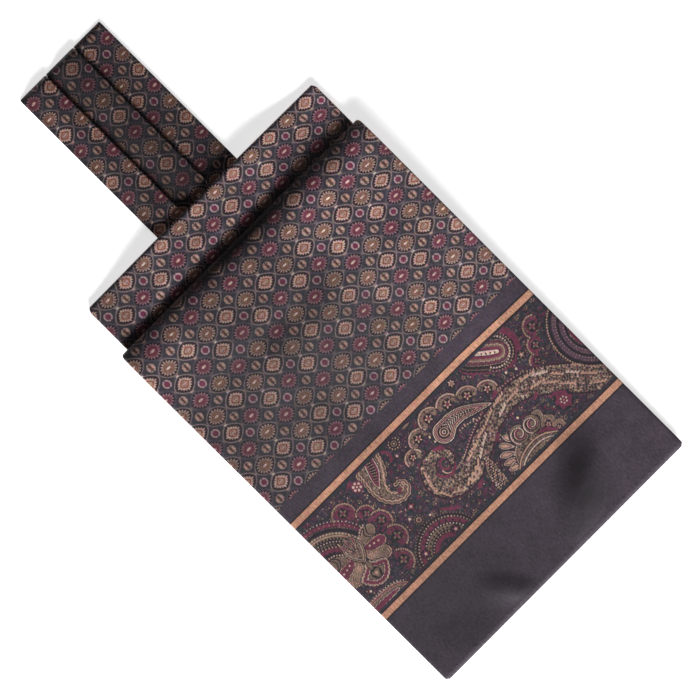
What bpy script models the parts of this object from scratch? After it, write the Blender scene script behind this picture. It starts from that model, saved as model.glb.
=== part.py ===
"""Silk cravat, folded and lying flat: a pleated neck band and a wide front blade.

Metres, +Z up.  +X runs across the blade, +Y runs from the blade's tip to the
folded end of the neck band.  The origin is the middle of the footprint, on the
surface the cravat rests on.
"""
import math

import bmesh
import bpy

MM = 0.001
GAP = 0.3                      # clear space kept between neighbouring stretches

# Plan of the folded cravat (mm)
FRONT_HALF_WIDTH = 77.5
TURNOVER_HALF_WIDTH = 74.0
TURNOVER_CENTRE_X = 0.5
LAYERS_HALF_WIDTH = 76.7
NECK_HALF_WIDTH = 26.0
NECK_CENTRE_X = -1.0
TIP_Y = -165.0                 # hemmed tip of the front blade
ROLL_Y = 48.0                  # where the front blade rolls over
FOLD_Y = 74.5                  # where the blades are turned over
NECK_END_Y = 165.0             # where the neck band is folded in half
TUCK_Y = 22.0                  # hidden tuck between front blade and turnover
CREST_Y = 34.0                 # where the front blade lies highest, behind its roll

# Cloth thicknesses (mm)
FRONT_WALL = 2.0
TURNOVER_WALL = 1.6
PLEAT_WALL = 1.0
NECK_WALL = 1.2
FOLD_ROOM = 0.6                # air inside each soft fold

# Pleats of the neck band: each fold edge laps this far over its own return
PLEAT_DEPTH = 7.0
PLEAT_EDGES = (8.9, -9.2)      # measured from the band's own middle

PLY_COUNT = 4                  # plies that show round the stack of hidden layers


def smooth(low, high, value):
    """0 below low, 1 above high, eased between."""
    t = min(max((value - low) / (high - low), 0.0), 1.0)
    return t * t * (3.0 - 2.0 * t)


def clear_scene():
    for obj in list(bpy.data.objects):
        bpy.data.objects.remove(obj, do_unlink=True)


def make_material(name, colour, roughness, sheen):
    material = bpy.data.materials.new(name)
    material.use_nodes = True
    shader = material.node_tree.nodes["Principled BSDF"]
    shader.inputs["Base Color"].default_value = (*colour, 1.0)
    shader.inputs["Roughness"].default_value = roughness
    shader.inputs["Sheen Weight"].default_value = sheen
    return material


def add_object(name, points, faces, material):
    """One closed body from points in mm, with its faces turned outward."""
    mesh = bpy.data.meshes.new(name)
    mesh.from_pydata([(x * MM, y * MM, z * MM) for x, y, z in points], [], faces)
    body = bmesh.new()
    body.from_mesh(mesh)
    bmesh.ops.remove_doubles(body, verts=body.verts, dist=0.00001)
    bmesh.ops.triangulate(body, faces=[f for f in body.faces if len(f.verts) > 4])
    bmesh.ops.recalc_face_normals(body, faces=body.faces)
    for face in body.faces:
        face.smooth = True
    body.to_mesh(mesh)
    body.free()
    mesh.materials.append(material)
    obj = bpy.data.objects.new(name, mesh)
    bpy.context.scene.collection.objects.link(obj)
    return obj


def skin_rings(rings):
    """Faces of a tube through equal rings of points, with both ends closed."""
    count = len(rings[0])
    faces = []
    for row in range(len(rings) - 1):
        for i in range(count):
            j = (i + 1) % count
            low, high = row * count, (row + 1) * count
            faces.append((low + i, low + j, high + j, high + i))
    faces.append(tuple(range(count)))
    last = (len(rings) - 1) * count
    faces.append(tuple(last + i for i in range(count)))
    points = [point for ring in rings for point in ring]
    return points, faces


# ---------------------------------------------------------------- resting form

NECK_STACK = NECK_WALL + GAP + 3 * PLEAT_WALL + 2 * GAP
ARCH_HEIGHT = NECK_STACK + GAP


def arch(x, y):
    """How far the blades are lifted by the neck band that lies under them."""
    across = 1.0 - smooth(NECK_HALF_WIDTH + 0.8, 72.0, abs(x - NECK_CENTRE_X))
    along = smooth(-78.0, TUCK_Y - 2.0, y)
    return ARCH_HEIGHT * across * along


# Soft troughs and ridges of the front blade: x, y, height, its two reaches, turn (degrees)
BLADE_WAVES = (
    (-22.0, 7.0, -0.9, 26.0, 9.0, 0.0),
    (14.0, -4.0, 0.8, 30.0, 12.0, 0.0),
    (40.0, -34.0, -0.7, 20.0, 14.0, 0.0),
    (-24.0, -40.0, -0.9, 16.0, 26.0, 0.0),
    (-20.0, -76.0, 0.6, 34.0, 16.0, 0.0),
    (33.5, -144.0, 2.3, 21.0, 8.0, 38.0),
    (-26.5, -155.5, 1.1, 12.0, 6.0, -52.0),
    (-56.0, -146.0, -0.6, 12.0, 10.0, 0.0),
)


def blade_wave(x, y):
    total = 0.0
    for cx, cy, height, first_reach, second_reach, turn in BLADE_WAVES:
        c, s = math.cos(math.radians(turn)), math.sin(math.radians(turn))
        dx, dy = x - cx, y - cy
        distance = (((dx * c + dy * s) / first_reach) ** 2
                    + ((dy * c - dx * s) / second_reach) ** 2)
        total += height * math.exp(-distance)
    settle = 1.0 - smooth(TUCK_Y - 16.0, TUCK_Y, y)
    return total * settle * smooth(TIP_Y, TIP_Y + 6.0, y)


TURNOVER_TOP = 2 * TURNOVER_WALL + FOLD_ROOM
RETURN_MIDDLE = TURNOVER_TOP + GAP + FRONT_WALL / 2.0
TIP_UNDERSIDE = 1.9            # heights of the front blade's underside
MIDDLE_UNDERSIDE = 5.2
CREST_UNDERSIDE = 10.4
LAYERS_END_Y = TUCK_Y - 2.0


def front_underside(y):
    """Height of the front blade's underside along its length, at the sides."""
    low_rise = (MIDDLE_UNDERSIDE - TIP_UNDERSIDE) * smooth(TIP_Y - 20.0, -40.0, y)
    high_rise = (CREST_UNDERSIDE - MIDDLE_UNDERSIDE) * smooth(-76.0, CREST_Y, y)
    return TIP_UNDERSIDE + low_rise + high_rise


def lift_front(x, y):
    return arch(x, y) + blade_wave(x, y)


def lift_layers(x, y):
    """The plies below follow every trough, and leave air under the ridges."""
    wave = blade_wave(x, y)
    return arch(x, y) + min(wave, 0.6 * wave)


def station(start, end, t):
    """A place between start and end, closer together near the start."""
    return start + (end - start) * (0.62 * t + 0.38 * t * t)


# ------------------------------------------------------------------ cloth walls

def spread(half_width, count):
    """Positions across a stretch, closer together near its two edges."""
    places = []
    for i in range(count):
        t = -1.0 + 2.0 * i / (count - 1)
        eased = 0.75 * t + 0.25 * math.sin(t * math.pi / 2.0)
        places.append(half_width * eased)
    return places


def hairpin(centre_y, centre_z, radius, steps):
    """Half circle from the upper run round to the lower run, bulging to +Y."""
    return [
        (centre_y + radius * math.sin(math.pi * i / steps),
         centre_z + radius * math.cos(math.pi * i / steps))
        for i in range(steps + 1)
    ]


def cloth_wall(name, path, thickness, sides, corner, lift, across, material):
    """A wall of cloth along a path in the Y-Z plane, raised by lift(x, y).

    sides is (middle x, half width).  corner is the radius that rounds the
    outline at the path's furthest reach in Y, given as (that reach, radius).
    """
    middle_x, half_width = sides
    reach_y, corner_radius = corner
    sign = 1.0 if reach_y > 0 else -1.0
    rings = []
    last = len(path) - 1
    for index, (y, z) in enumerate(path):
        before = path[max(index - 1, 0)]
        after = path[min(index + 1, last)]
        dy, dz = after[0] - before[0], after[1] - before[1]
        length = math.hypot(dy, dz)
        normal = (-dz / length, dy / length)
        half = thickness / 2.0
        if index in (0, last):
            half *= 0.45
        inside = min(sign * (reach_y - y), corner_radius)
        cut = corner_radius - math.sqrt(
            max(corner_radius ** 2 - (corner_radius - inside) ** 2, 0.0))
        width = half_width - cut
        ring = []
        places = spread(width - 0.8 * half, across)
        for side in (1.0, -1.0):
            for x in (places if side > 0 else reversed(places)):
                px = middle_x + x
                py, pz = y + side * half * normal[0], z + side * half * normal[1]
                ring.append((px, py, pz + lift(px, py)))
            edge_x = middle_x + side * width
            ring.append((edge_x, y, z + lift(edge_x, y)))
        rings.append(ring)
    points, faces = skin_rings(rings)
    return add_object(name, points, faces, material)


def build_front_blade(material):
    """Main panel from the hemmed tip to the roll, and its return to the tuck."""
    half = FRONT_WALL / 2.0
    path = [(TIP_Y, front_underside(TIP_Y) + half)]
    steps = 26
    for i in range(steps):
        y = station(TIP_Y + 0.9, CREST_Y, i / steps)
        path.append((y, front_underside(y) + half))
    crest = CREST_UNDERSIDE + half
    nose_y = ROLL_Y - half
    nose_radius = 1.5
    nose_z = RETURN_MIDDLE + nose_radius
    for i in range(8):
        angle = math.pi / 2.0 * i / 8
        path.append((CREST_Y + (nose_y - CREST_Y) * math.sin(angle),
                     nose_z + (crest - nose_z) * math.cos(angle)))
    for i in range(5):
        angle = math.pi / 2.0 * i / 4
        path.append((nose_y - nose_radius + nose_radius * math.cos(angle),
                     nose_z - nose_radius * math.sin(angle)))
    for y in (40.0, 32.0, TUCK_Y + 1.0, TUCK_Y):
        path.append((y, RETURN_MIDDLE))
    return cloth_wall("blade_front", path, FRONT_WALL, (0.0, FRONT_HALF_WIDTH),
                      (TIP_Y, 1.6), lift_front, 27, material)


def build_turnover(material):
    """The stretch turned over above the front blade: top ply, fold, under ply."""
    half = TURNOVER_WALL / 2.0
    outer = TURNOVER_WALL + FOLD_ROOM / 2.0
    centre_y = FOLD_Y - outer
    radius = half + FOLD_ROOM / 2.0
    centre_z = outer
    runs = (LAYERS_END_Y + 0.7, LAYERS_END_Y + 1.7, 30.0, 40.0, 48.0, 56.0, 64.0, 69.0)
    path = [(y, centre_z + radius) for y in runs]
    path += hairpin(centre_y, centre_z, radius, 8)
    path += [(y, centre_z - radius) for y in reversed(runs)]
    sides = (TURNOVER_CENTRE_X, TURNOVER_HALF_WIDTH)
    return cloth_wall("blade_turnover", path, TURNOVER_WALL, sides,
                      (FOLD_Y, 3.0), arch, 25, material)


# --------------------------------------------------------------- hidden layers

def build_folded_layers(material):
    """Everything folded away under the front blade, its plies showing at the
    sides and tip, flat underneath where it rests."""
    across = 25
    bulge = 0.7
    rings = []
    steps = 26
    for i in range(steps + 1):
        y = station(TIP_Y + 1.3, LAYERS_END_Y, i / steps)
        width = LAYERS_HALF_WIDTH - 1.5 * (1.0 - smooth(TIP_Y, TIP_Y + 3.0, y))
        places = spread(width - bulge, across)
        top = front_underside(y) - GAP
        ring = [(x, y, 0.0) for x in places]
        for ply in range(PLY_COUNT):
            low = top * ply / PLY_COUNT
            high = top * (ply + 1) / PLY_COUNT
            ring.append((width, y, low * 0.7 + high * 0.3))
            ring.append((width, y, low * 0.3 + high * 0.7))
            if ply < PLY_COUNT - 1:
                ring.append((width - bulge, y, high))
        for x in reversed(places):
            ring.append((x, y, top + lift_layers(x, y)))
        for ply in reversed(range(PLY_COUNT)):
            low = top * ply / PLY_COUNT
            high = top * (ply + 1) / PLY_COUNT
            if ply < PLY_COUNT - 1:
                ring.append((-width + bulge, y, high))
            ring.append((-width, y, low * 0.3 + high * 0.7))
            ring.append((-width, y, low * 0.7 + high * 0.3))
        rings.append(ring)
    points, faces = skin_rings(rings)
    return add_object("folded_layers", points, faces, material)


# ------------------------------------------------------------------- neck band

def lane_slope(number):
    """Where a lane starts to sink away from its pleat, and where it lies low again."""
    left = -NECK_HALF_WIDTH if number else PLEAT_EDGES[1] + 0.3
    return PLEAT_EDGES[number] - PLEAT_DEPTH - 0.7, left


def pleat_centreline():
    """Middle of the pleated cloth seen along Y, from its right edge to its left."""
    level = [NECK_WALL + GAP + PLEAT_WALL * 0.5 + i * (PLEAT_WALL + GAP)
             for i in range(3)]
    radius = (PLEAT_WALL + GAP) / 2.0
    turn_steps = 6
    line = [(NECK_HALF_WIDTH, level[0]), (17.0, level[0]), (PLEAT_EDGES[0] + 0.3, level[0])]
    for number, edge in enumerate(PLEAT_EDGES):
        inner_x = edge - PLEAT_DEPTH + radius
        outer_x = edge - radius - PLEAT_WALL / 2.0
        mid_low = (level[0] + level[1]) / 2.0
        mid_high = (level[1] + level[2]) / 2.0
        line.append((edge - 0.05, level[0]))
        for i in range(turn_steps + 1):
            angle = math.pi * i / turn_steps
            line.append((inner_x - radius * math.sin(angle),
                         mid_low - radius * math.cos(angle)))
        for i in range(turn_steps + 1):
            angle = math.pi * i / turn_steps
            line.append((outer_x + radius * math.sin(angle),
                         mid_high - radius * math.cos(angle)))
        high_until, lane_left = lane_slope(number)
        for i in range(7):
            t = i / 6.0
            line.append((high_until + (lane_left - high_until) * t,
                         level[2] + (level[0] - level[2]) * smooth(0.0, 1.0, t)))
    return line


def offset_outline(line, half):
    """Closed outline half a wall to each side of a centreline in the X-Z plane."""
    sides = []
    last = len(line) - 1
    for side in (1.0, -1.0):
        row = []
        for index, (x, z) in enumerate(line):
            before = line[max(index - 1, 0)]
            after = line[min(index + 1, last)]
            dx, dz = after[0] - before[0], after[1] - before[1]
            length = math.hypot(dx, dz)
            row.append((x - side * half * dz / length, z + side * half * dx / length))
        sides.append(row)
    return sides[0] + sides[1][::-1]


def stack_top(x):
    """Height of the cloth that shows, across the band."""
    low = NECK_WALL + GAP + PLEAT_WALL
    top = low
    for number, edge in enumerate(PLEAT_EDGES):
        if x < edge + 0.1:
            high_until, lane_left = lane_slope(number)
            top = low + (NECK_STACK - low) * smooth(lane_left, high_until, x)
    return top


def build_neck_band_upper(material):
    """Knife-pleated ply that shows, bent down over the folded end."""
    outline = offset_outline(pleat_centreline(), PLEAT_WALL / 2.0)
    start = LAYERS_END_Y + 0.7
    end_reach = 3.6
    bend_y = NECK_END_Y - end_reach
    rings = []
    straight = 8
    for i in range(straight):
        y = start + (bend_y - start) * i / straight
        rings.append([(NECK_CENTRE_X + x, y, z) for x, z in outline])
    bend_steps = 6
    for i in range(bend_steps + 1):
        angle = math.pi / 2.0 * i / bend_steps
        ring = []
        for x, z in outline:
            reach = z * end_reach / stack_top(x)
            ring.append((NECK_CENTRE_X + x, bend_y + reach * math.sin(angle),
                         z * math.cos(angle)))
        rings.append(ring)
    points, faces = skin_rings(rings)
    return add_object("neck_band_upper", points, faces, material)


def build_neck_band_lower(material):
    """Ply under the pleats, flat on the surface."""
    half_width = NECK_HALF_WIDTH - 0.2
    round_off = 0.35
    start, end = LAYERS_END_Y + 0.7, NECK_END_Y - 3.6
    rings = []
    for y in (start, start + 0.4, end - 0.4, end):
        pinch = round_off if y in (start, end) else 0.0
        ring = []
        for x, z in (
            (-half_width + round_off, 0.0), (half_width - round_off, 0.0),
            (half_width, round_off), (half_width, NECK_WALL - round_off),
            (half_width - round_off, NECK_WALL), (-half_width + round_off, NECK_WALL),
            (-half_width, NECK_WALL - round_off), (-half_width, round_off),
        ):
            height = z if z < NECK_WALL / 2.0 else z - pinch * 0.6
            ring.append((NECK_CENTRE_X + x, y, height))
        rings.append(ring)
    points, faces = skin_rings(rings)
    return add_object("neck_band_lower", points, faces, material)


clear_scene()
silk = make_material("silk_foulard", (0.075, 0.055, 0.066), 0.5, 0.35)
silk_turned = make_material("silk_turnover", (0.082, 0.060, 0.068), 0.5, 0.35)
silk_neck = make_material("silk_neck_pleats", (0.066, 0.050, 0.062), 0.5, 0.35)
silk_under = make_material("silk_neck_under", (0.060, 0.046, 0.058), 0.55, 0.3)
silk_layers = make_material("silk_layers", (0.058, 0.046, 0.055), 0.55, 0.3)

build_front_blade(silk)
build_turnover(silk_turned)
build_folded_layers(silk_layers)
build_neck_band_upper(silk_neck)
build_neck_band_lower(silk_under)
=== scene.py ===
import math

import bpy
import numpy as np
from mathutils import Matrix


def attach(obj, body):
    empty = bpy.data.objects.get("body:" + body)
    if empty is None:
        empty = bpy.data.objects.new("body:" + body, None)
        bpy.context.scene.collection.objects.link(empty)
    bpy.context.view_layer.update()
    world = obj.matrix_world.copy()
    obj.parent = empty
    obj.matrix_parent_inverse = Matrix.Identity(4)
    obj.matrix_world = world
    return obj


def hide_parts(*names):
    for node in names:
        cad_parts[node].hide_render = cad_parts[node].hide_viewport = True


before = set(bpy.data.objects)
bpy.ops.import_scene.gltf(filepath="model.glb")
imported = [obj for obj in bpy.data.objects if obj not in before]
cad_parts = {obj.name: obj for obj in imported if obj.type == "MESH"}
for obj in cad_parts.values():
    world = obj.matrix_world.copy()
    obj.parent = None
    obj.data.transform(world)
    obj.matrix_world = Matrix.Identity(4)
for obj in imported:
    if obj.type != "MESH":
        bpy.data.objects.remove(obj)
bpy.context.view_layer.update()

MM = 0.001

# ---- sizes (mm, as in the CAD)
FRONT_HALF = 77.5
TURN_HALF, TURN_X = 74.0, 0.5
LAYERS_HALF = 76.7
NECK_HALF, NECK_X = 26.0, -1.0
TIP_Y, ROLL_Y, FOLD_Y, NECK_END_Y = -165.0, 48.0, 74.5, 165.0
TUCK_Y, CREST_Y, LAYERS_END_Y = 22.0, 34.0, 20.0
FRONT_WALL, TURN_WALL, PLEAT_WALL, NECK_WALL = 2.0, 1.6, 1.0, 1.2
GAP = 0.3
NECK_BEND = 3.6                        # how far the band's end bends over
PLEAT_DEPTH = 7.0
PLEAT_EDGES = (8.9, -9.2)
NECK_STACK = NECK_WALL + GAP + 3 * PLEAT_WALL + 2 * GAP
ARCH = NECK_STACK + GAP
TURNOVER_TOP = 2 * TURN_WALL + 2 * GAP
RETURN_MIDDLE = TURNOVER_TOP + GAP + FRONT_WALL / 2
TIP_UNDER, MIDDLE_UNDER, CREST_UNDER = 1.9, 5.2, 10.4
TIP_CORNER, ROLL_CORNER, FOLD_CORNER = 1.6, 2.2, 3.0
PLIES, PLY_BULGE = 4, 0.8
RIM = np.radians([60, 30, 0, -30, -60])    # places round the side edge of a flat tube
FINER = 3                                  # fine cells to a coarse one

# Where the print changes, measured along the blade from its tip
STRIPE_LOW, STRIPE_HIGH, STRIPE_HALF = 42.0, 101.2, 1.55
BAND_LOW, BAND_HIGH = 44.4, 98.6
FOULARD_START = -0.82          # in rows of the repeat, counted from the first whole one


def smooth(low, high, v):
    t = np.clip((v - low) / (high - low), 0.0, 1.0)
    return t * t * (3 - 2 * t)


def srgb(r, g, b):
    """A display colour, 0 to 255 a channel, as the linear colour that shaders take."""
    c = np.array([r, g, b]) / 255.0
    c = np.where(c <= 0.04045, c / 12.92, ((c + 0.055) / 1.055) ** 2.4)
    return (float(c[0]), float(c[1]), float(c[2]), 1.0)


def turned(x, y, degrees):
    """The same offset seen along axes that are turned by this much."""
    c, s = math.cos(math.radians(degrees)), math.sin(math.radians(degrees))
    return x * c + y * s, y * c - x * s


def away(x, y, far, degrees):
    """The point this far off, in degrees from +u."""
    return x + far * math.cos(math.radians(degrees)), y + far * math.sin(math.radians(degrees))


# ---- resting form
def arch(x, y):
    across = 1 - smooth(NECK_HALF + 0.8, 72.0, np.abs(x - NECK_X))
    return ARCH * across * smooth(-78.0, TUCK_Y - 2, y)


def front_under(y):
    low = (MIDDLE_UNDER - TIP_UNDER) * smooth(TIP_Y - 20, -40.0, y)
    return TIP_UNDER + low + (CREST_UNDER - MIDDLE_UNDER) * smooth(-76.0, CREST_Y, y)


# Soft troughs and ridges of the front blade: x, y, height, reach across, reach along, turn
WAVES = (
    (-22, 7, -0.9, 26, 9, 0),
    (14, -4, 0.8, 30, 12, 0),
    (40, -34, -0.7, 20, 14, 0),
    (-24, -40, -0.9, 16, 26, 0),
    (-20, -76, 0.6, 34, 16, 0),
    (33.5, -144, 2.3, 21, 8, 38),
    (-26.5, -155.5, 1.1, 12, 6, -52),
    (-56, -146, -0.6, 12, 10, 0),
)


def waves(x, y):
    total = 0.0
    for cx, cy, height, across, along, turn in WAVES:
        p, q = turned(x - cx, y - cy, turn)
        total = total + height * np.exp(-((p / across) ** 2) - ((q / along) ** 2))
    settle = 1 - smooth(TUCK_Y - 16, TUCK_Y, y)
    return total * settle * smooth(TIP_Y, TIP_Y + 6, y)


def front_lift(x, y):
    return arch(x, y) + waves(x, y)


def layers_lift(x, y):
    """The plies below fill every ridge only in part, and give way fully to a trough."""
    wave = waves(x, y)
    return arch(x, y) + np.minimum(wave, 0.6 * wave)


# ---- mesh tools
def resample(path, step):
    """The same polyline with even steps; returns its points and length along it."""
    path = np.array(path, float)
    along = np.concatenate([[0], np.cumsum(np.hypot(*np.diff(path, axis=0).T))])
    count = max(int(round(along[-1] / step)), 1)
    at = np.linspace(0, along[-1], count + 1)
    return np.stack([np.interp(at, along, path[:, k]) for k in (0, 1)], 1), at


def spaced_path(path, step_at):
    """Points along a finely drawn path, with the step that step_at(y, z) gives."""
    fine, along = resample(path, 0.05)
    keep, last = [0], 0.0
    for i in range(1, len(fine)):
        if along[i] - last >= step_at(fine[i, 0], fine[i, 1]) - 1e-6:
            keep.append(i)
            last = along[i]
    if keep[-1] != len(fine) - 1:
        keep.append(len(fine) - 1)
    return fine[keep], along[keep]


def path_normals(path):
    d = np.gradient(path, axis=0)
    d /= np.hypot(d[:, 0], d[:, 1])[:, None]
    return np.stack([-d[:, 1], d[:, 0]], 1)


def rings_to_faces(count, n):
    """Four-sided faces between rings of n points each, one ring after another."""
    i = np.arange(n)
    j = (i + 1) % n
    faces = []
    for a in range(0, (count - 1) * n, n):
        faces += np.stack([a + i, a + j, a + n + j, a + n + i], 1).tolist()
    return faces


def add_object(name, data):
    obj = bpy.data.objects.new(name, data)
    bpy.context.scene.collection.objects.link(obj)
    return obj


def new_piece(name, points, faces, attributes, material):
    mesh = bpy.data.meshes.new(name)
    mesh.from_pydata((np.asarray(points) * MM).tolist(), [], faces)
    mesh.validate()
    for key, values in attributes.items():
        layer = mesh.attributes.new(key, "FLOAT_VECTOR", "POINT")
        layer.data.foreach_set("vector", np.asarray(values, np.float32).ravel())
    mesh.polygons.foreach_set("use_smooth", np.ones(len(mesh.polygons), bool))
    mesh.materials.append(material)
    obj = add_object(name, mesh)
    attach(obj, "root")
    return obj


# ---- where the print falls
ROW_PITCH, COLUMN_PITCH = 10.06, 11.72


def front_lattice(u, v):
    """Column and row of the repeat at a place on the front blade (rows fan slightly)."""
    row = (v - (118.8 - 0.0163 * u)) / (ROW_PITCH - 0.0069 * u)
    column = (u - 4.0 - 0.22 * row) / (COLUMN_PITCH + 0.0175 * row)
    return column, row


def turnover_lattice(u, y):
    row = 16 - (70.1 - y) / (9.87 - 0.0138 * u)
    return (u - 6.3 - 0.75 * (16 - row)) / COLUMN_PITCH, row


# The print lies differently on each lane of the neck band: its first column and row, in mm
LANE_X, LANE_Y = (-12.3, 0.46, 10.9), (159.0, 157.7, 156.6)
LANE_PAINTED_SHADE = (0.94, 0.55, 0.80)         # painted shade on each lane, as a light level
NECK_ROW_PITCH, NECK_COLUMN_PITCH = 10.28, 11.35


def neck_lattice(x, y, lane):
    return ((x - np.choose(lane, LANE_X)) / NECK_COLUMN_PITCH,
            (y - np.choose(lane, LANE_Y)) / NECK_ROW_PITCH + 24)


# ---- cloth tubes
def cloth_tube(name, path, sections, lift, lattice, material, cloth_of, fine_rows=None,
               coarse=1.2, under=5.4, inks=None, closed_start=False):
    """A flat tube of cloth along a path in the Y-Z plane.

    sections gives (middle x, half width, half thickness) at each path point.  The face
    that shows is a close grid, three times as close on fine_rows, where the figured
    border is printed; the rest is a wider grid.
    """
    fine = np.zeros(len(path), bool) if fine_rows is None else fine_rows
    widest = max(s[1] for s in sections)
    cells = int(round(2 * widest / coarse))
    coarse_t = np.linspace(-1, 1, cells + 1)
    fine_t = np.linspace(-1, 1, cells * FINER + 1)
    under_t = np.linspace(1, -1, int(round(2 * widest / under)) + 1)
    points, cloth, blocks = [], [], []
    total = 0
    for k, ((y, z), (ny, nz), (mid, half_w, h)) in enumerate(
            zip(path, path_normals(path), sections)):
        top_t = fine_t if fine[k] else coarse_t
        flat = half_w - h
        x = np.concatenate([flat * top_t, flat + h * np.cos(RIM), flat * under_t,
                            -flat - h * np.cos(RIM[::-1])])
        off = np.concatenate([np.full(len(top_t), h), h * np.sin(RIM),
                              np.full(len(under_t), -h), h * np.sin(RIM[::-1])])
        around = np.concatenate([
            flat * top_t, flat + h * (np.pi / 2 - RIM), 2 * flat + h * np.pi - flat * under_t,
            -flat - h * (np.pi / 2 - RIM[::-1])])
        py, pz = y + off * ny, z + off * nz
        points.append(np.stack([mid + x, py, pz + lift(mid + x, py)], 1))
        cloth.append(np.stack([around, np.full(len(x), cloth_of(k, y)), off / h], 1))
        blocks.append((total, len(top_t), len(x)))
        total += len(x)
    points, cloth = np.concatenate(points), np.concatenate(cloth)
    faces = []
    for (a, na, la), (b, nb, lb) in zip(blocks, blocks[1:]):
        if na == nb:
            i = np.arange(na - 1)
            faces += np.stack([a + i, b + i, b + i + 1, a + i + 1], 1).tolist()
        elif na < nb:
            faces += [[a + i, *range(b + FINER * i, b + FINER * (i + 1) + 1), a + i + 1]
                      for i in range(cells)]
        else:
            faces += [[a + FINER * i, b + i, b + i + 1,
                       *range(a + FINER * (i + 1), a + FINER * i, -1)] for i in range(cells)]
        ra = a + na - 1 + np.arange(la - na + 2)
        rb = b + nb - 1 + np.arange(lb - nb + 2)
        ra[-1], rb[-1] = a, b
        faces += np.stack([ra[:-1], rb[:-1], rb[1:], ra[1:]], 1).tolist()
    if closed_start:
        faces.append(list(range(blocks[0][2])))
    column, row = lattice(cloth[:, 0], cloth[:, 1])
    attributes = {"cloth": cloth, "lattice": np.stack([column, row, cloth[:, 2]], 1)}
    if inks is not None:
        attributes["ink_a"], attributes["ink_b"] = inks(*cloth.T)
    return new_piece(name, points, faces, attributes, material)


def front_path():
    """Middle of the front blade's wall, from the tip over the roll to the hidden tuck."""
    half = FRONT_WALL / 2
    y = np.linspace(TIP_Y, CREST_Y, 500)
    path = list(zip(y, front_under(y) + half))
    crest, radius = CREST_UNDER + half, 1.5
    nose_y, nose_z = ROLL_Y - half, RETURN_MIDDLE + radius
    for a in np.radians(np.linspace(0, 90, 90, endpoint=False)):
        path.append((CREST_Y + (nose_y - CREST_Y) * math.sin(a),
                     nose_z + (crest - nose_z) * math.cos(a)))
    for a in np.radians(np.linspace(0, 90, 30)):
        path.append((nose_y - radius + radius * math.cos(a), nose_z - radius * math.sin(a)))
    path += [(y, RETURN_MIDDLE) for y in np.linspace(45, TUCK_Y - 0.4, 30)]
    return path


def corner(radius, inside):
    """How far a rounded corner cuts into the width, that far inside its end."""
    return radius - math.sqrt(radius ** 2 - (radius - min(max(inside, 0.0), radius)) ** 2)


def build_front(material, inks):
    def step(y, z):
        if BAND_LOW - 1 < y - TIP_Y < BAND_HIGH + 1:
            return 0.4
        return 0.6 if y > 42 and z > RETURN_MIDDLE + 0.05 else 1.2

    path, along = spaced_path(front_path(), step)
    crest_row = int(np.argmax(path[:, 0] >= CREST_Y))
    upper = np.arange(len(path)) <= np.argmax(path[:, 0])
    reach = path[:, 0] - TIP_Y
    fine = upper & (reach > BAND_LOW - 0.6) & (reach < BAND_HIGH + 0.6)
    sections = []
    for d, y in zip(reach, path[:, 0]):
        h = FRONT_WALL / 2 * (1.0 if d > 0.9 else 0.35 + 0.65 * math.sqrt(max(d, 0) / 0.9))
        cut = corner(TIP_CORNER, d) + corner(ROLL_CORNER, ROLL_Y - y)
        sections.append((0.0, FRONT_HALF - cut, h))

    def cloth_of(k, y):
        return y - TIP_Y if k <= crest_row else (
            CREST_Y - TIP_Y + along[k] - along[crest_row])

    return cloth_tube("front_blade", path, sections, front_lift, front_lattice, material,
                      cloth_of, fine, inks=inks, closed_start=True)


def build_turnover(material):
    half = TURN_WALL / 2
    radius, outer = half + GAP, TURN_WALL + GAP
    start = LAYERS_END_Y + 1.0
    path = [(y, outer + radius) for y in np.linspace(start, FOLD_Y - outer, 40)]
    for a in np.radians(np.linspace(0, 180, 60)):
        path.append((FOLD_Y - outer + radius * math.sin(a), outer + radius * math.cos(a)))
    path += [(y, outer - radius) for y in np.linspace(FOLD_Y - outer, start, 40)]
    path, along = spaced_path(
        path, lambda y, z: 0.5 if y > 70 else (1.0 if z > outer and y > 40 else 2.4))
    sections = [(TURN_X, TURN_HALF - corner(FOLD_CORNER, FOLD_Y - y), half) for y, z in path]
    edge = along[int(np.argmax(path[:, 0] >= FOLD_Y - outer))]

    def cloth_of(k, y):
        return FOLD_Y - outer + along[k] - edge

    return cloth_tube("turnover", path, sections, arch, turnover_lattice, material,
                      cloth_of, coarse=1.0)


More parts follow.
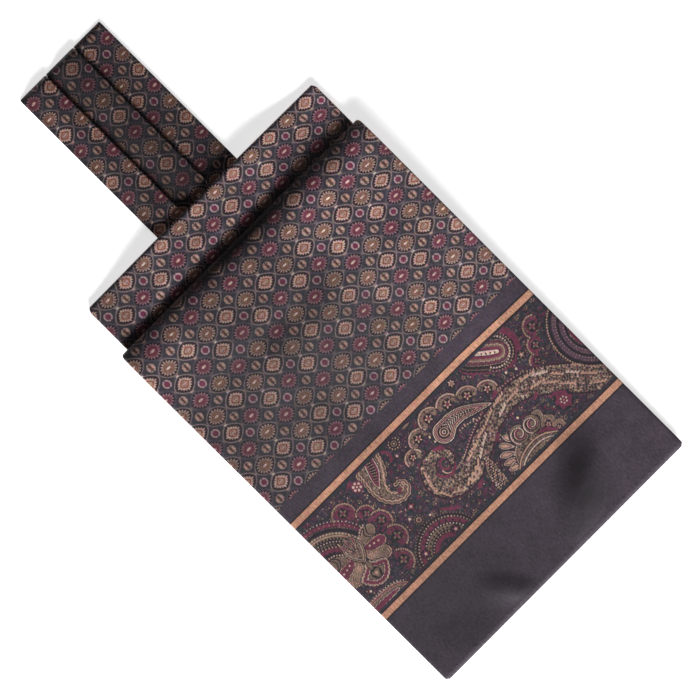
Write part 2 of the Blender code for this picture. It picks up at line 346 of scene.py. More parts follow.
def build_layers(material):
    """The plies folded away under the front blade; their edges show at sides and tip."""
    ys = np.concatenate([TIP_Y + np.array([1.3, 1.5, 1.9, 2.6]),
                         np.arange(TIP_Y + 3.4, LAYERS_END_Y, 1.5), [LAYERS_END_Y]])
    profile = np.linspace(0, 1, 7)
    side_h, side_in = [], []
    for ply in range(PLIES):
        for t in profile[(1 if ply else 0):]:
            side_h.append((ply + t) / PLIES)
            side_in.append(PLY_BULGE * (1 - math.sqrt(max(1 - (2 * t - 1) ** 2, 0))))
    side_h, side_in = np.array(side_h), np.array(side_in)
    across = np.linspace(-1, 1, 91)
    points, cloth = [], []
    for y in ys:
        d = y - TIP_Y
        width = LAYERS_HALF - 1.5 * (1 - float(smooth(0, 3, d)))
        sway = 0.35 * np.sin(y / 17 + side_h * 9)
        top = float(front_under(y)) - GAP
        x = (width - PLY_BULGE) * across
        side = width - side_in - 0.3 * (1 + sway)
        px = np.concatenate([x, side, x[::-1], -side[::-1]])
        pz = np.concatenate([np.zeros(len(x)), side_h * top, top + layers_lift(x[::-1], y),
                             side_h[::-1] * top])
        points.append(np.stack([px, np.full(len(px), y), pz], 1))
        cloth.append(np.stack([px, np.full(len(px), d), pz], 1))
    n = len(points[0])
    points, cloth = np.concatenate(points), np.concatenate(cloth)
    faces = rings_to_faces(len(ys), n)
    faces.append(list(range(n))[::-1])
    # The far end, where the plies turn back into the tuck
    first = len(points)
    cap_x = np.outer(side, across)
    cap_y = LAYERS_END_Y + 0.7 * np.outer(1 - side_in / PLY_BULGE, 1 - across ** 6)
    cap_z = side_h[:, None] * (top + layers_lift(cap_x, LAYERS_END_Y))
    cap = np.stack([cap_x, cap_y, cap_z], 2).reshape(-1, 3)
    points, cloth = np.concatenate([points, cap]), np.concatenate([cloth, cap])
    for level in range(len(side_h) - 1):
        a = first + level * len(across) + np.arange(len(across) - 1)
        b = a + len(across)
        faces += np.stack([a + 1, a, b, b + 1], 1).tolist()
    column, row = front_lattice(cloth[:, 0], cloth[:, 1])
    attributes = {"cloth": cloth, "lattice": np.stack([column, row, row * 0], 1)}
    return new_piece("under_layers", points, faces, attributes, material)


# ---- pleated band
def pleat_line():
    """Middle of the pleated cloth seen along Y, right to left, with each point's lane."""
    level = [NECK_WALL + GAP + PLEAT_WALL * (0.5 + i) + GAP * i for i in range(3)]
    radius = (PLEAT_WALL + GAP) / 2
    line = [(x, level[0], 2) for x in np.linspace(NECK_HALF - 0.5, PLEAT_EDGES[0] + 0.3, 18)]
    for number, edge in enumerate(PLEAT_EDGES):
        inner, outer = edge - PLEAT_DEPTH + radius, edge - radius - PLEAT_WALL / 2
        low, high = (level[0] + level[1]) / 2, (level[1] + level[2]) / 2
        line += [(x, level[0], 2 - number) for x in np.linspace(edge - 0.05, inner + 0.5, 6)]
        for middle, side, height, lane in ((inner, -radius, low, 2 - number),
                                           (outer, radius, high, 1 - number)):
            line += [(middle + side * math.sin(a), height - radius * math.cos(a), lane)
                     for a in np.linspace(0, np.pi, 13)]
        crest, left = lane_slope(number)
        line += [(x, level[2], 1 - number) for x in np.linspace(outer - 0.8, crest + 0.5, 8)]
        for t in np.linspace(0, 1, 14):
            line.append((crest + (left - crest) * t,
                         level[2] + (level[0] - level[2]) * float(smooth(0, 1, t)),
                         1 - number))
    return np.array(line, float)


def lane_slope(number):
    """Where a lane starts to sink away from its pleat, and where it lies low again."""
    left = -NECK_HALF + 0.5 if number else PLEAT_EDGES[1] + 0.3
    return PLEAT_EDGES[number] - PLEAT_DEPTH - 0.7, left


def stack_top(x):
    """Height of the cloth that shows, across the band."""
    low = NECK_WALL + GAP + PLEAT_WALL
    top = np.full(len(x), low)
    for number, edge in enumerate(PLEAT_EDGES):
        crest, left = lane_slope(number)
        rise = low + (NECK_STACK - low) * smooth(left, crest, x)
        top = np.where(x < edge + 0.1, rise, top)
    return top


def build_neck(material):
    """The knife-pleated ply: a tube of cloth, zigzag across, bent over its folded end."""
    line = pleat_line()
    h = PLEAT_WALL / 2
    normals = path_normals(line[:, :2])
    upper = line[:, :2] - normals * h
    lower = line[:, :2] + normals * h
    left, right = line[-1, :2], line[0, :2]
    left_arc = np.stack([left[0] - h * np.cos(RIM), left[1] + h * np.sin(RIM)], 1)
    right_arc = np.stack([right[0] + h * np.cos(RIM), right[1] - h * np.sin(RIM)], 1)
    ring = np.concatenate([upper, left_arc, lower[::-1], right_arc])
    side = np.zeros(len(RIM))
    lane = np.concatenate([line[:, 2], side, line[::-1, 2], side + 2]).astype(int)
    face_up = np.concatenate([np.ones(len(line)), side, -np.ones(len(line)), side])
    # Painted highlight along the folded edge of each pleat
    painted_edge_highlight = sum(np.exp(-((ring[:, 0] - edge + 0.45) / 0.4) ** 2) for edge in PLEAT_EDGES)
    painted_edge_highlight *= ring[:, 1] > NECK_STACK - 1.2
    bend = NECK_END_Y - NECK_BEND
    stations = [(y, 0.0) for y in np.arange(LAYERS_END_Y + 1.0, bend, 1.5)]
    stations += [(bend, a) for a in np.radians(np.linspace(0, 90, 10))]
    points, cloth, lattice, neck_painted_light = [], [], [], []
    for y, a in stations:
        out = ring[:, 1] * NECK_BEND / stack_top(ring[:, 0])
        px = NECK_X + ring[:, 0]
        py = y + out * math.sin(a)
        pz = ring[:, 1] * math.cos(a)
        points.append(np.stack([px, py, pz], 1))
        v = np.full(len(px), y + NECK_BEND * a * 0.8)
        cloth.append(np.stack([px, v, face_up], 1))
        # Painted light and shade: lane levels and edge highlights, painted light where the
        # turnover's shadow falls beside the fold, and a little darker below y 95 than beyond y 135
        shade = np.choose(lane, LANE_PAINTED_SHADE) + 0.5 * painted_edge_highlight
        shade = shade * (1 + 1.6 * math.exp(-((y - FOLD_Y) / 5.5) ** 2))
        shade = shade * (0.88 + 0.14 * float(smooth(95.0, 135.0, y)))
        neck_painted_light.append(np.stack([shade, shade, shade], 1))
        column, row = neck_lattice(px, v, lane)
        lattice.append(np.stack([column, row, face_up], 1))
    attributes = {"cloth": np.concatenate(cloth), "lattice": np.concatenate(lattice),
                  "neck_painted_light": np.concatenate(neck_painted_light)}
    return new_piece("neck_pleats", np.concatenate(points),
                     rings_to_faces(len(stations), len(ring)), attributes, material)


def build_neck_under(material):
    h = NECK_WALL / 2
    path, _ = spaced_path([(LAYERS_END_Y + 1.0, h), (NECK_END_Y - NECK_BEND, h)],
                          lambda y, z: 1.5)
    sections = [(NECK_X, NECK_HALF - 0.2, h)] * len(path)

    def lattice(u, v):
        return u / NECK_COLUMN_PITCH, v / NECK_ROW_PITCH

    return cloth_tube("neck_under", path, sections, lambda x, y: 0.0 * x, lattice, material,
                      lambda k, y: y, coarse=1.5)


# ---- the figured border, drawn
INKS = ("tan", "olive", "wine", "pale", "plum", "dark")
NO_INK = 9.0                           # a distance that lies well outside every edge, mm


def spline(points, step=0.25):
    """A smooth curve through the points, evenly sampled, with any further columns."""
    p = np.array(points, float)
    p = np.vstack([2 * p[0] - p[1], p, 2 * p[-1] - p[-2]])
    t = np.linspace(0, 1, 24, endpoint=False)[:, None]
    parts = [0.5 * (2 * b + (c - a) * t + (2 * a - 5 * b + 4 * c - d) * t ** 2
                    + (3 * b - a - 3 * c + d) * t ** 3)
             for a, b, c, d in zip(p, p[1:], p[2:], p[3:])]
    line = np.vstack(parts + [p[-2][None]])
    along = np.concatenate([[0], np.cumsum(np.hypot(*np.diff(line[:, :2], axis=0).T))])
    at = np.linspace(0, along[-1], max(int(along[-1] / step), 2) + 1)
    return np.stack([np.interp(at, along, line[:, k]) for k in range(line.shape[1])], 1), at


def arc(cx, cv, radius, first, last, width=0.3):
    """Points on an arc, angles in degrees from +u, for a stem of that half width."""
    angles = np.radians(np.linspace(first, last, max(int(abs(last - first) / 12), 3)))
    return [(cx + radius * math.cos(a), cv + radius * math.sin(a), width) for a in angles]


def rows(text):
    """The rows of a small table, split by commas: numbers first, then the name of an ink."""
    for row in text.split(", "):
        *numbers, ink = row.split()
        yield *map(float, numbers), ink


class Border:
    """Inks laid one over another, each held as the distance in mm to its own edge."""

    def __init__(self, u, v):
        self.u, self.v = u, v
        self.ink = {name: np.full(len(u), NO_INK) for name in INKS}

    def near(self, u0, u1, v0, v1):
        return np.nonzero((self.u > u0) & (self.u < u1) & (self.v > v0) & (self.v < v1))[0]

    def lay(self, at, ink, d):
        for name, field in self.ink.items():
            field[at] = np.minimum(field[at], d) if name == ink else np.maximum(field[at], -d)

    def dots(self, centres, radius, ink):
        for x, y in centres:
            at = self.near(x - radius - 1, x + radius + 1, y - radius - 1, y + radius + 1)
            self.lay(at, ink, np.hypot(self.u[at] - x, self.v[at] - y) - radius)

    def spots(self, x, y, far, count, radius, ink, first=0.0):
        """A circle of dots round a place."""
        self.dots([away(x, y, far, first + 360 * k / count) for k in range(count)], radius, ink)

    def follow(self, points):
        """Cloth places near a stem: index, length along it, offset, distance, half width."""
        line, along = spline(points)
        wide = line[:, 2].max() + 1.0
        at = self.near(line[:, 0].min() - wide, line[:, 0].max() + wide,
                       line[:, 1].min() - wide, line[:, 1].max() + wide)
        nearest = np.zeros(len(at), int)
        for k in range(0, len(at), 4000):
            part = at[k:k + 4000]
            nearest[k:k + 4000] = np.argmin(
                (self.u[part][:, None] - line[:, 0]) ** 2
                + (self.v[part][:, None] - line[:, 1]) ** 2, 1)
        side = path_normals(line[:, :2])[nearest]
        du, dv = self.u[at] - line[nearest, 0], self.v[at] - line[nearest, 1]
        t = along[nearest] + du * side[:, 1] - dv * side[:, 0]
        s = du * side[:, 0] + dv * side[:, 1]
        return at, t, s, np.hypot(du, dv), line[nearest, 2]

    def lay_bands(self, at, edge, bands):
        """Nested outlines: each band says how far inside the edge its ink starts, in mm."""
        for inset, ink in rows(bands):
            self.lay(at, ink, edge + inset)

    def stem(self, points, bands, wavy=0.0, pitch=2.4):
        """A stroke along the points, each (u, v, half width)."""
        at, t, s, off, width = self.follow(points)
        edge = off - width - wavy * np.abs(np.sin(t * np.pi / pitch))
        self.lay_bands(at, edge, bands)
        return at, t, s, edge

    def shape(self, points, bands, wavy=0.0, pitch=1.6):
        """A closed shape whose edge runs smoothly through the points."""
        rim, along = spline(list(points) + [points[0]], 0.3)
        low, high = rim.min(0) - 1.5, rim.max(0) + 1.5
        at = self.near(low[0], high[0], low[1], high[1])
        du, dv = self.u[at][:, None] - rim[:-1, 0], self.v[at][:, None] - rim[:-1, 1]
        nearest = np.argmin(du ** 2 + dv ** 2, 1)
        off = np.sqrt(np.min(du ** 2 + dv ** 2, 1))
        rise = np.diff(rim, axis=0)
        slope = np.where(np.abs(rise[:, 1]) < 1e-9, 1e-9, rise[:, 1])
        crossed = ((dv >= 0) != (dv - rise[:, 1] >= 0)) & (du < rise[:, 0] * dv / slope)
        edge = np.where(crossed.sum(1) % 2 == 1, -off, off)
        edge = edge - wavy * np.abs(np.sin(along[nearest] * np.pi / pitch))
        self.lay_bands(at, edge, bands)
        return at, edge

    def beads(self, points, pitch, radius, ink, offset=0.0):
        line, along = spline(points)
        side = path_normals(line[:, :2]) * offset
        at = np.arange(pitch / 2, along[-1], pitch)
        x = np.interp(at, along, line[:, 0] + side[:, 0])
        y = np.interp(at, along, line[:, 1] + side[:, 1])
        self.dots(zip(x, y), radius, ink)

    def mosaic(self, at, t, s, edge, pitch, row, radius, inks, seed):
        """Rows of small dots inside an edge; each takes one of the inks by lot."""
        inks = inks.split()
        i = np.floor(t / pitch)
        j = np.floor(s / row + 0.5 * np.mod(i, 2))
        stray = 0.16 * np.sin(i * 7.3 + j * 3.1 + seed)
        dt = t - (i + 0.5 + stray) * pitch
        ds = s - (j + 0.5 - 0.5 * np.mod(i, 2) + stray) * row
        lot = np.mod(np.floor(np.abs(np.sin(i * 12.9898 + j * 78.233 + seed) * 43758.5453)),
                     len(inks)).astype(int)
        d = np.maximum(np.hypot(dt, ds) - radius, edge)
        for number, ink in enumerate(inks):
            self.lay(at, ink, np.where(lot == number, d, NO_INK))

    def flower(self, x, y, radius, petals, ink, heart, spin=0.0, deep=0.28):
        at = self.near(x - radius - 2, x + radius + 2, y - radius - 2, y + radius + 2)
        du, dv = self.u[at] - x, self.v[at] - y
        rho, theta = np.hypot(du, dv), np.arctan2(dv, du) + spin
        self.lay(at, "dark", rho - radius - 0.35)
        self.lay(at, ink, rho - radius * (1 - deep + deep * np.cos(petals * theta)))
        self.lay(at, heart, rho - radius * 0.36)

    def rosette(self, x, y, radius, count, bead, heart):
        self.dots([(x, y)], radius + 0.6, "dark")
        self.spots(x, y, radius, count, 0.42, bead)
        for share, ink in ((0.60, heart), (0.36, "dark"), (0.18, bead)):
            self.dots([(x, y)], radius * share, ink)

    def dome(self, x, y, radius, first, last, rich):
        """A cloud scallop: a thin beaded rim, a mottled inside and a hanging flower."""
        if rich:
            deep, bead, fill, spots = 1.25, "pale", "olive", "tan dark wine olive"
            petals, turn, light = 5, 1.0, "tan"
        else:
            deep, bead, fill, spots = 1.9, "olive", "wine", "plum dark olive wine"
            petals, turn, light = 4, 0.0, "olive"
        self.stem(arc(x, y, radius, first, last, 0.5), "-0.35 dark, 0.05 tan")
        self.beads(arc(x, y, radius, first, last), 1.1, 0.32, bead)
        at, t, s, edge = self.stem(arc(x, y, radius - 0.7 - deep, first, last, deep),
                                   "0 " + fill, wavy=0.2)
        self.mosaic(at, t, s, edge + 0.15, 1.1, 1.0, 0.38, spots, x)
        cx, cy = away(x, y, radius * 0.22, (first + last) / 2)
        self.flower(cx, cy, radius * 0.36, petals, light, "wine", turn, 0.34)

    def flame(self, x, y, length, turn, ink):
        """A thin line with a row of slanted barbs along one side."""
        end = away(x, y, length, turn)
        self.stem([(x, y, 0.25), (*end, 0.25)], "-0.3 dark, 0 " + ink)
        for along in np.arange(0.2, length, 1.6):
            foot = away(x, y, along, turn)
            bend, tip = away(*foot, 1.0, turn + 12), away(*foot, 2.3, turn + 36)
            self.stem([(*foot, 0.25), (*bend, 0.52), (*tip, 0.12)], "0 " + ink)

    def petal(self, x, y, length, width, turn, bands):
        """A leaf from a foot at (x, y), its direction in degrees from +u."""
        shape = ((0.0, 0.25), (0.3, 0.75), (0.62, 1.0), (0.88, 0.62), (1.0, 0.12))
        self.stem([(*away(x, y, length * t, turn), width * w) for t, w in shape], bands)

    def arches(self, x, y, first, last, bands, beads, wavy=0.0, pitch=2.4):
        """Arcs round one middle: bands of radius, half width, ink, then lines of beads."""
        for r, half, ink in rows(bands):
            self.stem(arc(x, y, r, first, last, half), "0 " + ink, wavy, pitch)
        for r, step, size, ink in rows(beads):
            self.beads(arc(x, y, r, first, last), step, size, ink)


def draw_border(u, v):
    """The paisley border: everything in mm, v measured from the blade's tip."""
    b = Border(u, v)
    lots = np.random.default_rng(7)
    # Filler over the ground: close small spots and short curls
    for x in np.arange(-77, 78, 1.45):
        for y in np.arange(46, 98, 1.45):
            ink = ("plum", "wine", "dark", "plum", "olive", "dark")[lots.integers(0, 6)]
            dx, dy, r = lots.uniform(-0.4, 0.4), lots.uniform(-0.4, 0.4), lots.uniform(0.3, 0.55)
            b.dots([(x + dx, y + dy)], r, ink)
    for x in np.arange(-75, 78, 4.4):
        for y in np.arange(47.5, 98, 4.4):
            dx, dy, a = lots.uniform(-1.6, 1.6), lots.uniform(-1.6, 1.6), lots.uniform(0, 360)
            ink = ("wine", "plum", "olive")[lots.integers(0, 3)]
            b.stem(arc(x + dx, y + dy, 1.2, a, a + 150, 0.3), "-0.2 dark, 0 " + ink)
            b.dots([(x + dx, y + dy)], 0.36, "tan" if lots.random() < 0.5 else "olive")

    # Cloud scallops that run down beside the palmette
    for x, y, r, first, last in ((-57, 88, 5.6, 200, -50), (-49.8, 80.8, 4.8, 110, -60),
            (-47.2, 74, 5.6, 95, -50), (-47.4, 64.2, 6, 80, -70), (-53.2, 54.2, 6, 70, -70)):
        b.dome(x, y, r, first, last, False)

    # Beaded arches above the palmette
    b.arches(-79, 70, 92, 14,
             "24.2 0.9 wine, 21.8 0.7 dark, 17 3.8 olive, 16.5 0.8 dark, 13.9 0.7 dark, 12.4 1 wine",
             "25.8 1.7 0.34 pale, 24.2 2.4 0.34 tan, 22.9 1.4 0.32 olive, 20.3 1.5 0.42 pale, "
             "17.9 1.6 0.5 dark, 16.5 1.5 0.4 pale, 15 1.5 0.42 dark, 13.9 1.6 0.44 tan")
    b.stem(arc(-79, 70, 19.1, 92, 14, 0.32), "0 tan")
    b.stem(arc(-79, 70, 10.4, 92, 20, 1.6), "0 wine, 1 dark", wavy=0.9, pitch=2)

    # Palmette: striped fans, dotted wine petals, a bell petal, and the bud over all
    for side in (-1, 1):
        def place(points):
            return [(-65 + side * x, y) for x, y in points]

        b.shape(place([(3.5, 73), (8, 76.5), (12.5, 77.6), (14.3, 75.2), (12, 72.4), (7, 71.6)]),
            "-0.35 dark, 0 tan, 0.45 olive", wavy=0.4)
        for r in (3.2, 4.6):
            b.stem([p + (0.26,) for p in place([(14.5 - r, 77.5), (14.2 - r * 1.3, 75),
                (14.5 - r, 72.4)])], "0 dark")
        b.beads([p + (1,) for p in place([(4, 74.4), (8, 77.9), (12, 79)])], 1.3, 0.45, "pale")
        b.shape(place([(3.5, 71.2), (8, 71.4), (12.8, 70.6), (14.6, 68.2), (12.4, 66), (8, 66.6),
            (4, 69.2)]), "-0.35 dark, 0 tan, 0.5 wine", wavy=0.5)
        b.dots(place([(6.6, 69.9), (8.8, 69.3), (11.2, 68.8)]), 0.52, "pale")
        at, edge = b.shape(place([(2.4, 68.6), (7.2, 67), (11.5, 65.4), (12.6, 62), (10.2, 60.2),
            (6, 61.4), (2.6, 65.2)]), "-0.35 dark, 0 tan, 0.5 olive", wavy=0.45)
        # Lines that fan out from the foot of the petal
        dx, dy = b.u[at] + 65 - side * 1.2, b.v[at] - 69
        fan = np.abs(np.mod(np.arctan2(dy, dx), 0.11) - 0.055) * np.hypot(dx, dy)
        b.lay(at, "tan", np.maximum(fan - 0.2, edge + 0.9))
        b.stem(arc(-65 + side * 10.2, 62.6, 1.4, 90, 90 - side * 270, 0.24), "-0.2 dark, 0 tan")
    bell = [(-65, 67.2), (-62.6, 63.6), (-57.4, 60.6), (-58.6, 57.2), (-61.4, 54.4), (-65, 53.4),
        (-68.6, 54.4), (-71.4, 57.2), (-72.6, 60.6), (-67.4, 63.6)]
    b.shape(bell, "-0.35 dark, 0 pale, 0.45 tan, 0.9 wine, 2.3 pale, 2.7 dark, 3 olive",
            wavy=0.5, pitch=1.9)
    b.flower(-65, 58.9, 2.3, 3, "olive", "tan", -0.52, 0.2)
    b.stem([(-65, 66.5, 0.4), (-65, 63.4, 0.9), (-65, 61.6, 0.5)], "-0.25 dark, 0 olive")
    bud = [(-65, 79.6), (-61.4, 77.6), (-60.2, 73.6), (-62, 69.4), (-65, 66.2), (-68, 69.4),
        (-69.8, 73.6), (-68.6, 77.6)]
    at, edge = b.shape(bud, "-0.4 dark, 0 tan, 0.45 dark, 0.8 pale, 1.2 olive")
    b.mosaic(at, b.v[at], b.u[at] + 65, edge + 1.5, 1.2, 1.2, 0.4, "tan wine pale dark", 3)
    for side in (-1, 0, 1):
        b.stem([(-65 + side * 1.2, 73.5, 0.3), (-65 + side * 3, 77.2, 0.7),
            (-65 + side * 3.4, 80.8, 0.3)], "-0.3 dark, 0 tan, 0.35 wine")
    # Scalloped leaf in the corner below
    b.stem([(-79, 46.5, 4.2), (-70, 46.8, 3.9), (-63, 46.4, 3), (-58, 45.4, 0.4)],
        "-0.4 dark, 0 tan, 0.5 wine, 1.1 tan, 1.5 olive, 2.3 dark, 2.6 pale, 3 wine", wavy=0.35)
    b.beads([(-79, 49.9, 1), (-70, 50.1, 1), (-63, 48.9, 1), (-58.5, 46, 1)], 1.4, 0.36, "pale",
        offset=1.2)

    # Hooked paisley
    hook = [(-32.6, 98, 6.8), (-34, 92.5, 6.2), (-36.2, 87, 4.6), (-36.8, 82, 3.4),
        (-34.6, 77.8, 2.8), (-30.6, 75.8, 2.4), (-27.4, 77.4, 1.9), (-27.4, 80.4, 1.1),
        (-29.8, 81.4, 0.5)]
    at, t, s, edge = b.stem(
        hook, "-0.5 dark, -0.1 tan, 0.4 dark, 0.7 olive, 1 tan, 1.7 dark, 2 olive", wavy=0.55,
        pitch=2.2)
    b.beads(hook[:6], 1.3, 0.36, "tan", offset=-7.2)
    b.mosaic(at, t, s, edge + 2.1, 1.15, 1, 0.34, "tan dark pale wine", 8)
    leaf = [(-31.4, 97.6, 2.6), (-33, 93, 2.8), (-35.4, 88.5, 1.7), (-36.4, 85.4, 0.4)]
    at, t, s, edge = b.stem(leaf, "-0.3 dark, 0 pale, 0.45 wine, 1.5 dark")
    b.lay(at, "tan", np.maximum(np.abs(np.mod(t, 1.3) - 0.65) - 0.22, edge + 1.2))
    b.beads([(-25.8, 96, 1), (-29.6, 90.6, 1), (-33, 86, 1), (-33.6, 82, 1)], 1.2, 0.4, "tan")
    b.stem([(-31, 77.8, 1), (-29.8, 78.6, 0.6)], "0 wine")
    b.stem(arc(-25.6, 93.4, 3.4, 60, -60, 0.7), "0 wine")

    # Small flowers standing free
    b.dots([(-43.4, 93.2)], 2.9, "wine")
    b.spots(-43.4, 93.2, 1.75, 6, 0.62, "pale", first=20)
    b.dots([(-43.4, 93.2)], 0.5, "pale")
    b.rosette(-17.2, 95.3, 2.6, 12, "tan", "olive")
    b.rosette(-34, 62.2, 2.2, 11, "olive", "tan")
    b.flower(-32.2, 69.2, 1.9, 4, "wine", "tan")
    b.dots([(-36.8, 65.4), (-20.2, 90.3), (-28.6, 60.2), (-35, 58.3), (-73, 54.6)], 0.6, "pale")
    b.stem([(-9.6, 97.4, 0.5), (-7.6, 97.6, 0.9), (-5.6, 97.4, 0.5)], "-0.3 dark, 0 olive, 0.5 tan")
    b.flower(21.2, 96.2, 1.8, 6, "tan", "olive")
    b.flower(7, 97.4, 1, 4, "olive", "tan")

    # Half medallion that rises from the lower stripe
    b.arches(-32.5, 41.5, 12, 168,
             "16.4 0.9 dark, 13.7 0.9 wine, 12.2 0.6 dark, 10.5 0.9 olive, 8.7 0.6 dark, 7 0.9 wine",
             "17.2 1.5 0.42 olive, 15.6 1.5 0.4 tan, 12.2 1.5 0.42 pale, 13.8 3.2 0.5 dark, "
             "10.4 1.9 0.5 dark, 8.7 1.5 0.4 tan", wavy=0.3, pitch=1.8)
    b.flower(-24.8, 47.2, 1.9, 5, "wine", "pale")
    b.flower(-42.8, 48.8, 1.9, 5, "wine", "pale")

    # Cloud scallops over the long paisley
    for x, y, r, first, last in ((-15.4, 83.4, 4.4, 185, 5), (-7.4, 87.6, 5.4, 178, 22),
            (2.6, 90.8, 5.8, 175, 25), (12.8, 89.4, 5.8, 140, 8), (21.8, 85.8, 5.6, 120, 0),
            (30.4, 81.6, 5.2, 110, -10)):
        b.dome(x, y, r, first, last, True)

    # Great scroll: a spiral whose band runs off to the right
    scroll = [(-4.6, 69.6, 0.9), (-2.9, 72.8, 1.9), (-4.4, 76.6, 2.5), (-9, 78.4, 2.9),
        (-14.2, 75.8, 3.7), (-16.3, 70.2, 4.7), (-13.8, 63.8, 5.4), (-6.4, 60.4, 5.2), (3, 62, 5.4),
        (12, 66.4, 5.2), (22, 70.4, 4.7), (33, 72.4, 4.5), (43, 71.4, 5.4), (52.5, 66.8, 6.4),
        (61, 59.6, 7), (69.5, 52.4, 7), (79, 47.6, 7)]
    at, t, s, edge = b.stem(scroll, "-0.8 wine, -0.45 dark, 0.3 olive")
    b.mosaic(at, t, s, edge + 0.1, 1.2, 1.1, 0.46, "tan dark pale dark tan dark wine dark", 1)
    b.beads(scroll[4:], 1.35, 0.36, "tan", offset=6.2)
    b.stem(arc(-8, 71.4, 5, 185, 330, 0.6), "0 wine")
    b.stem(arc(-6.8, 71.8, 2.6, 60, 260, 0.5), "0 wine")
    b.stem(arc(-7, 72, 21, 222, 242, 0.7), "0 wine")
    # Flame leaves laid along the scroll, each a row of small barbs
    for x, y, turn, length, ink in rows(
            "1 65.2 16 7 tan, 6.6 66.6 22 7 tan, 11.8 69.4 12 7 tan, 6 62 32 6 pale, "
            "10.8 65.2 28 6 pale, 18.6 71.2 22 8 tan, 27 74.4 12 8 tan, 26 69.4 18 7 pale, "
            "33 71.8 2 7 tan, 44 74 -8 7 tan, 49.6 72.6 -32 8 pale, 45 68.4 -12 7 tan, "
            "50.6 66.4 -38 8 tan, 56.4 67.2 -48 6 tan, 56 61 -44 7 tan, 62 62.6 -48 7 pale, "
            "66.4 57.4 -46 7 tan, 66 51 -36 7 tan, -16.6 76.4 -112 6 tan, -19 70.6 -94 6 tan, "
            "-18.6 64.8 -62 6 tan, -14.4 60.2 -34 6 tan"):
        b.flame(x, y, length, turn, ink)

    zigzag = [(-6.4, 57.4), (-3.8, 59.4), (-3.6, 57.8), (-1, 60), (-0.8, 58.4), (2, 61), (2, 59.4),
        (5.4, 62.8)]
    b.stem([(*at, 0.5) for at in zigzag], "-0.4 dark, 0 tan")
    b.stem([(-5, 56.9, 0.3), (0.5, 57.7, 0.6), (4, 59.8, 0.2)], "0 tan")

    # Column of beads below the scroll
    at, t, s, edge = b.stem([(8.2, 60, 1.4), (6.8, 55.5, 2.8), (5.6, 50, 3.2), (5, 44, 3.2)],
        "-0.3 dark, 0.5 olive, 1.1 dark")
    b.mosaic(at, t, s, edge, 1.2, 1.1, 0.46, "pale tan olive tan", 5)

    # Long paisley with a round head
    drop = [(3, 82.6, 5.3), (8.2, 83.9, 4), (14, 83.2, 3.3), (19.6, 80.8, 2.5), (24.4, 78.4, 1.4),
        (27.6, 76.7, 0.4)]
    at, t, s, edge = b.stem(
        drop, "-0.7 dark, 0 pale, 0.5 dark, 0.8 tan, 1.2 wine, 1.7 tan, 2.1 dark")
    inner = np.maximum(edge + 2.3, 0.35 - t)
    b.lay(at, "pale", np.maximum(np.abs(np.mod(t + np.abs(s) * 0.9, 1.25) - 0.62) - 0.28, inner))
    b.dots([(3, 82.6)], 2.6, "dark")
    b.stem(arc(3, 82.6, 2, 0, 350, 0.28), "0 tan")
    b.stem(arc(3, 82.6, 0.8, 0, 300, 0.28), "0 pale")
    b.beads([(8, 79.5, 1), (14, 78.8, 1), (20, 76.4, 1)], 1.6, 0.42, "tan", offset=-1.4)
    b.stem([(-6.5, 80.2, 0.4), (-4.2, 79, 0.9), (-2.2, 77.2, 0.4)], "0 wine")
    b.dots([(-3, 82.4), (-3.4, 85.6), (16.8, 77.2)], 0.5, "pale")

    # Paisley cut off by the upper stripe
    core = [(36.5, 99.5, 0.7), (42, 95, 1.1), (46.6, 91.6, 0.9)]
    b.stem([(x, y, w + 8) for x, y, w in core], "0 wine, 0.8 dark", wavy=0.7)
    b.stem([(x, y, w + 6.6) for x, y, w in core],
           "0 olive, 0.5 dark, 2 tan, 2.4 dark, 2.8 wine, 3.4 olive, 3.7 dark", wavy=0.25)
    b.beads(arc(45.5, 92.4, 7.3, 60, -150), 1.35, 0.46, "pale")
    b.beads(arc(45.5, 92.4, 8.9, 60, -150), 1.5, 0.36, "tan")
    b.stem([(x, y, w + 2.6) for x, y, w in core], "0 tan, 0.5 olive, 1.3 wine", wavy=0.35)
    b.stem(core, "-0.3 dark, 0 pale")
    b.dots([(40.6, 95.9), (42.2, 94.6), (43.9, 93.4), (45.6, 92.2)], 0.42, "dark")
    b.stem(arc(46, 92, 10.8, 35, -40, 0.9), "0 wine", wavy=0.5)
    b.flower(27, 94, 1.4, 5, "olive", "wine")
    b.flower(53.5, 82.6, 1.8, 5, "olive", "tan")
    b.dots([(47.2, 79.7), (42.6, 81.7), (31.6, 63.2)], 0.62, "pale")

    # Cloud scallops at the right
    for x, y, r, first, last in ((57.2, 74.6, 4.4, 160, 80), (62.2, 80.4, 5, 200, 70),
            (67, 87.4, 5.6, 200, 60)):
        b.dome(x, y, r, first, last, False)

    # Half paisley against the right edge
    b.arches(87, 70.5, 112, 238,
             "19.2 0.6 dark, 17.4 1.1 plum, 15.6 0.4 dark, 13.6 1.2 plum, 12.2 0.4 dark, "
             "9.8 1.3 wine",
             "20.6 1.3 0.42 tan, 17.8 1.5 0.42 olive, 16.6 1.4 0.32 tan, 14.4 1.3 0.36 olive, "
             "13.2 1.5 0.36 tan, 11.2 1.4 0.4 olive", wavy=0.15)

